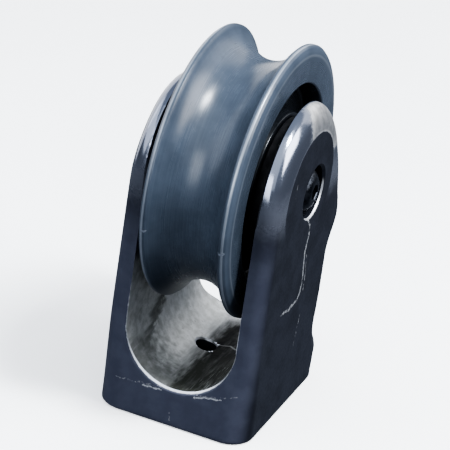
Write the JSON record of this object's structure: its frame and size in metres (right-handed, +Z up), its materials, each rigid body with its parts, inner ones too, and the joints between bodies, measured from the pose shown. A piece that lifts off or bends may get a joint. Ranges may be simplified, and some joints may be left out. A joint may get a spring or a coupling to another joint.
{
  "type": "upright sheave block",
  "caption": "Upright block with a solid foot, a round-bottomed slot between two rounded cheeks and a grooved sheave on a roller bearing, held by an axle with a screw at each end.",
  "frame": {"origin": "centre of the flat underside of the foot", "axes": "+X along the axle towards the right cheek, -Y towards the mouth that the rope enters by, +Z up from the deck"},
  "size_m": [0.0588, 0.1, 0.137],
  "materials": {
    "housing_coating": "dark blue-grey anodised cast aluminium, semi-gloss, rubbed back to bright metal over the tops of the cheeks and along the edge of the slot, with a bare, stained floor in the slot",
    "sheave_anodising": "slate blue-grey anodised aluminium, semi-gloss, with fine turning marks and lighter worn edges",
    "stainless_steel": "turned stainless steel",
    "bolt_steel": "blackened steel with worn, bright edges",
    "spring_steel": "plain spring steel",
    "bearing_steel": "ground and polished bearing steel",
    "cage_brass": "machined brass",
    "black_acetal": "matte black acetal"
  },
  "bodies": {
    "frame": {"housing": "housing_coating", "axle": "stainless_steel", "bearing_inner_race": "bearing_steel", "thrust_washer_left": "black_acetal", "thrust_washer_right": "black_acetal", "axle_bolt_left": "bolt_steel", "axle_bolt_right": "bolt_steel"},
    "sheave": {"sheave": "sheave_anodising", "bearing_outer_race": "bearing_steel", "retaining_ring_left": "spring_steel", "retaining_ring_right": "spring_steel"},
    "cage": {"bearing_cage": "cage_brass"},
    "roller_01": {"roller_01": "bearing_steel"},
    "roller_02": {"roller_02": "bearing_steel"},
    "roller_03": {"roller_03": "bearing_steel"},
    "roller_04": {"roller_04": "bearing_steel"},
    "roller_05": {"roller_05": "bearing_steel"},
    "roller_06": {"roller_06": "bearing_steel"},
    "roller_07": {"roller_07": "bearing_steel"},
    "roller_08": {"roller_08": "bearing_steel"},
    "roller_09": {"roller_09": "bearing_steel"},
    "roller_10": {"roller_10": "bearing_steel"}
  },
  "joints": [
    {"name": "sheave_spin", "type": "hinge", "parent": "frame", "child": "sheave", "pos_m": [0, 0, 0.087], "axis": [1, 0, 0], "continuous": true},
    {"name": "cage_orbit", "type": "hinge", "parent": "frame", "child": "cage", "pos_m": [0, 0, 0.087], "axis": [1, 0, 0], "continuous": true},
    {"name": "roller_01_spin", "type": "hinge", "parent": "cage", "child": "roller_01", "pos_m": [0, 0, 0.1018], "axis": [1, 0, 0], "continuous": true},
    {"name": "roller_02_spin", "type": "hinge", "parent": "cage", "child": "roller_02", "pos_m": [0, -0.0087, 0.09897], "axis": [1, 0, 0], "continuous": true},
    {"name": "roller_03_spin", "type": "hinge", "parent": "cage", "child": "roller_03", "pos_m": [0, -0.01408, 0.09157], "axis": [1, 0, 0], "continuous": true},
    {"name": "roller_04_spin", "type": "hinge", "parent": "cage", "child": "roller_04", "pos_m": [0, -0.01408, 0.08243], "axis": [1, 0, 0], "continuous": true},
    {"name": "roller_05_spin", "type": "hinge", "parent": "cage", "child": "roller_05", "pos_m": [0, -0.0087, 0.07503], "axis": [1, 0, 0], "continuous": true},
    {"name": "roller_06_spin", "type": "hinge", "parent": "cage", "child": "roller_06", "pos_m": [0, 0, 0.0722], "axis": [1, 0, 0], "continuous": true},
    {"name": "roller_07_spin", "type": "hinge", "parent": "cage", "child": "roller_07", "pos_m": [0, 0.0087, 0.07503], "axis": [1, 0, 0], "continuous": true},
    {"name": "roller_08_spin", "type": "hinge", "parent": "cage", "child": "roller_08", "pos_m": [0, 0.01408, 0.08243], "axis": [1, 0, 0], "continuous": true},
    {"name": "roller_09_spin", "type": "hinge", "parent": "cage", "child": "roller_09", "pos_m": [0, 0.01408, 0.09157], "axis": [1, 0, 0], "continuous": true},
    {"name": "roller_10_spin", "type": "hinge", "parent": "cage", "child": "roller_10", "pos_m": [0, 0.0087, 0.09897], "axis": [1, 0, 0], "continuous": true}
  ],
  "couplings": [
    {"joint": "cage_orbit", "follows": "sheave_spin", "ratio": 0.59797},
    {"joint": "roller_01_spin", "follows": "sheave_spin", "ratio": 2.4538},
    {"joint": "roller_02_spin", "follows": "sheave_spin", "ratio": 2.4538},
    {"joint": "roller_03_spin", "follows": "sheave_spin", "ratio": 2.4538},
    {"joint": "roller_04_spin", "follows": "sheave_spin", "ratio": 2.4538},
    {"joint": "roller_05_spin", "follows": "sheave_spin", "ratio": 2.4538},
    {"joint": "roller_06_spin", "follows": "sheave_spin", "ratio": 2.4538},
    {"joint": "roller_07_spin", "follows": "sheave_spin", "ratio": 2.4538},
    {"joint": "roller_08_spin", "follows": "sheave_spin", "ratio": 2.4538},
    {"joint": "roller_09_spin", "follows": "sheave_spin", "ratio": 2.4538},
    {"joint": "roller_10_spin", "follows": "sheave_spin", "ratio": 2.4538}
  ]
}
